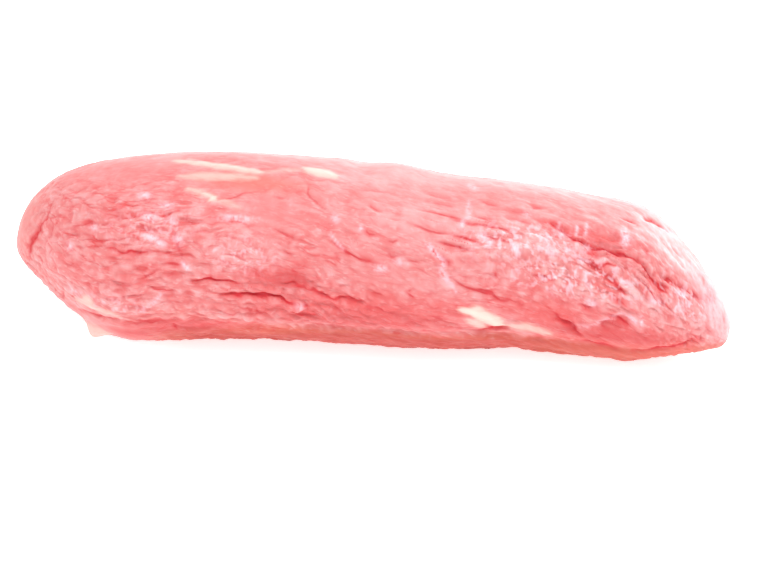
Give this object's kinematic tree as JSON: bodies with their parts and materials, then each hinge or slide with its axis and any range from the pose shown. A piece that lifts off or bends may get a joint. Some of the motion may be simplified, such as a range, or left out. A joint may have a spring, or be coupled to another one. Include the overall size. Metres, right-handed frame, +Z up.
{
  "type": "veal round",
  "caption": "Raw veal round: one long trimmed muscle, pale pink with fine lengthwise grain, creases and strips of fat, blunt at one end, tapered at the other, lying on a flattened underside",
  "frame": {"origin": "on the table, under the middle of the piece's bounding box", "axes": "X along the piece from its blunt end to its thin end, Y from the side shown in the picture to the back, Z up from the table"},
  "size_m": [0.262, 0.0782, 0.0585],
  "materials": {
    "raw_veal": "moist raw lean meat with a soft sheen, paler along the top and at the thin end, with small cream strips of fat"
  },
  "bodies": {
    "root": {"veal_round": "raw_veal"}
  },
  "joints": []
}
